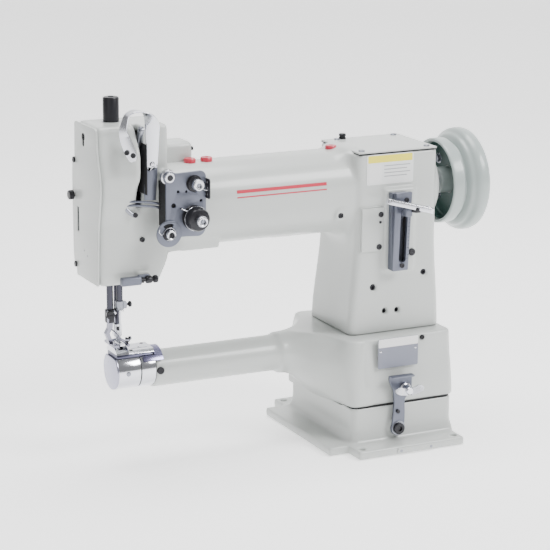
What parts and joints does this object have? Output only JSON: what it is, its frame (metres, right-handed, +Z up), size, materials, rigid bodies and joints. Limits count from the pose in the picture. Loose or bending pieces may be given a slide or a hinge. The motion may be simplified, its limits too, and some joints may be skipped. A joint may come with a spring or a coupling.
{
  "type": "leather sewing machine",
  "caption": "Cylinder-bed walking-foot sewing machine for leather, with a cast arm, handwheel, needle and feet, take-up lever, tension plate and a tilting head on a latched base.",
  "frame": {"origin": "centre of the bounding box at floor height", "axes": "+X along the arm towards the handwheel, -Y towards the person sewing, +Z up"},
  "size_m": [0.466, 0.2133, 0.395],
  "materials": {
    "paint": "satin light grey enamel over cast metal",
    "grey_plate": "satin blue-grey plated steel",
    "wheel_paint": "satin grey-green enamel",
    "chrome": "polished",
    "steel": "ground steel",
    "black": "blackened steel",
    "red": "glossy",
    "rubber": "matt",
    "brass": "turned"
  },
  "bodies": {
    "base": {"base_pedestal": "paint", "tilt_hinge_pin": "steel", "latch_pivot_screw": "black", "front_edge_plate": "paint"},
    "machine_head": {"bed_casting": "paint", "bed_sleeve": "steel", "hook_cap": "chrome", "needle_plate": "chrome", "bobbin_case": "chrome", "arm_casting": "paint", "face_cover": "paint", "face_cover_knob": "black", "top_cover": "paint", "linkage_cover": "paint", "side_cover_plate": "paint", "name_plate": "grey_plate", "oil_cap_1": "red", "oil_cap_2": "red", "oil_cap_3": "red", "vent_cap": "black", "shaft_bush": "brass", "timing_belt": "rubber", "take_up_guard": "chrome", "tension_plate": "grey_plate", "pretension_disc": "black", "thread_guide_plate": "black", "head_thread_guide": "steel", "edge_guide_bracket": "grey_plate", "stitch_scale_bracket": "grey_plate", "presser_spring": "steel"},
    "latch": {"latch_arm": "grey_plate"},
    "latch_bolt": {"wing_bolt": "chrome"},
    "main_shaft_group": {"main_shaft": "steel", "upper_sprocket": "steel", "handwheel": "wheel_paint"},
    "hook_shaft_group": {"hook_shaft": "steel", "lower_sprocket": "steel", "rotary_hook": "steel"},
    "bobbin_spool": {"bobbin": "brass"},
    "needle_bar_group": {"needle_bar": "steel", "needle_clamp": "steel", "needle_clamp_screw": "black", "needle": "chrome"},
    "presser_group": {"presser_bar": "steel", "outer_foot": "chrome"},
    "inner_foot_group": {"inner_foot_bar": "steel", "inner_foot": "chrome"},
    "take_up": {"take_up_lever": "steel"},
    "feed": {"feed_dog": "steel"},
    "stitch_regulator": {"stitch_lever": "steel", "stitch_lever_nut": "black"},
    "pressure_knob": {"pressure_regulator": "black"},
    "pretension_knob": {"pretension_nut": "chrome"},
    "main_tension_disc": {"main_tension_drum": "black"},
    "main_tension_knob": {"main_tension_nut": "chrome"},
    "check_spring_group": {"check_spring_disc": "grey_plate", "check_spring_nut": "chrome"},
    "edge_guide_knob": {"guide_thumb_screw": "black"},
    "slide_cover": {"slide_plate": "grey_plate"}
  },
  "joints": [
    {"name": "head_tilt", "type": "hinge", "parent": "base", "child": "machine_head", "pos_m": [0.111, 0.088, 0.05], "axis": [1, 0, 0], "range_deg": [-35, 0]},
    {"name": "latch_swing", "type": "hinge", "parent": "base", "child": "latch", "pos_m": [0.105, -0.082, 0.0225], "axis": [0, 1, 0], "range_deg": [-60, 60]},
    {"name": "wing_bolt_turn", "type": "hinge", "parent": "latch", "child": "latch_bolt", "pos_m": [0.112, -0.085, 0.067], "axis": [0, 1, 0], "range_deg": [-720, 720]},
    {"name": "main_shaft_turn", "type": "hinge", "parent": "machine_head", "child": "main_shaft_group", "pos_m": [0.111, 0, 0.275], "axis": [1, 0, 0], "continuous": true},
    {"name": "hook_shaft_turn", "type": "hinge", "parent": "machine_head", "child": "hook_shaft_group", "pos_m": [0.111, 0, 0.102], "axis": [1, 0, 0], "continuous": true},
    {"name": "bobbin_turn", "type": "hinge", "parent": "machine_head", "child": "bobbin_spool", "pos_m": [-0.178, 0, 0.102], "axis": [1, 0, 0], "continuous": true},
    {"name": "needle_bar_slide", "type": "slide", "parent": "machine_head", "child": "needle_bar_group", "axis": [0, 0, 1], "range_m": [-0.013, 0.017]},
    {"name": "presser_lift", "type": "slide", "parent": "machine_head", "child": "presser_group", "axis": [0, 0, 1], "range_m": [0, 0.012], "stiffness_N_per_m": 500, "deforming": ["presser_spring"]},
    {"name": "inner_foot_lift", "type": "slide", "parent": "machine_head", "child": "inner_foot_group", "axis": [0, 0, 1], "range_m": [0, 0.012]},
    {"name": "take_up_swing", "type": "hinge", "parent": "machine_head", "child": "take_up", "pos_m": [-0.1774, -0.019, 0.322], "axis": [1, 0, 0], "range_deg": [0, 80]},
    {"name": "feed_stroke", "type": "slide", "parent": "machine_head", "child": "feed", "axis": [0, 1, 0], "range_m": [-0.0025, 0.0025]},
    {"name": "stitch_lever_swing", "type": "hinge", "parent": "machine_head", "child": "stitch_regulator", "pos_m": [0.119, -0.012, 0.232], "axis": [1, 0, 0], "range_deg": [0, 45]},
    {"name": "pressure_knob_turn", "type": "hinge", "parent": "machine_head", "child": "pressure_knob", "pos_m": [-0.192, 0, 0.38], "axis": [0, 0, 1], "range_deg": [-720, 720]},
    {"name": "pretension_turn", "type": "hinge", "parent": "machine_head", "child": "pretension_knob", "pos_m": [-0.125, -0.065, 0.3095], "axis": [0, 1, 0], "range_deg": [-720, 720]},
    {"name": "main_tension_disc_turn", "type": "hinge", "parent": "machine_head", "child": "main_tension_disc", "pos_m": [-0.1255, -0.065, 0.274], "axis": [0, 1, 0], "continuous": true},
    {"name": "main_tension_turn", "type": "hinge", "parent": "machine_head", "child": "main_tension_knob", "pos_m": [-0.1255, -0.078, 0.274], "axis": [0, 1, 0], "range_deg": [-720, 720]},
    {"name": "check_spring_turn", "type": "hinge", "parent": "machine_head", "child": "check_spring_group", "pos_m": [-0.1535, -0.062, 0.2595], "axis": [0, 1, 0], "range_deg": [-90, 90]},
    {"name": "edge_guide_knob_turn", "type": "hinge", "parent": "machine_head", "child": "edge_guide_knob", "pos_m": [-0.179, -0.0447, 0.2102], "axis": [1, 0, 0], "range_deg": [-720, 720]},
    {"name": "slide_plate_open", "type": "slide", "parent": "machine_head", "child": "slide_cover", "axis": [1, 0, 0], "range_m": [0, 0.035]}
  ],
  "couplings": [
    {"joint": "hook_shaft_turn", "follows": "main_shaft_turn", "ratio": 2}
  ]
}
